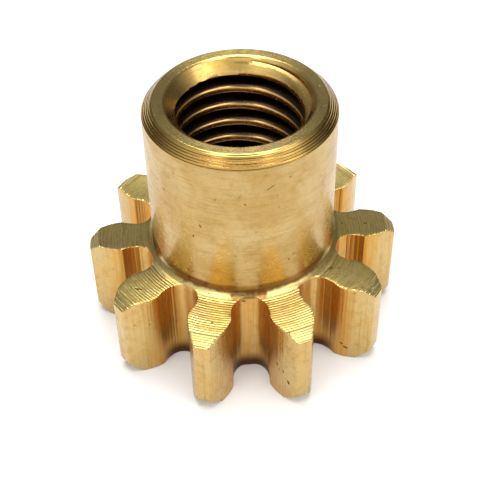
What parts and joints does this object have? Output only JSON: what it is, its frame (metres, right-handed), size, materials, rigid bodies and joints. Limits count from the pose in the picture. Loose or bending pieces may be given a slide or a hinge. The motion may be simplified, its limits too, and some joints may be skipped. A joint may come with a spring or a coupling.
{
  "type": "threaded spur pinion",
  "caption": "Small brass spur pinion with straight undercut teeth, a long plain turned hub on one side and a threaded through bore for a screw or spindle.",
  "frame": {"origin": "on the bore axis, in the gear's flat bottom face, which the part stands on", "axes": "+Z along the bore axis from the gear's flat face to the hub's end face; X through the middle of a tooth, Y through the middle of a tooth space"},
  "size_m": [0.0274, 0.0264, 0.0229],
  "materials": {
    "brass": "satin turned brass with fine feed marks, bright edges and small handling marks"
  },
  "bodies": {
    "root": {"pinion": "brass"}
  },
  "joints": []
}
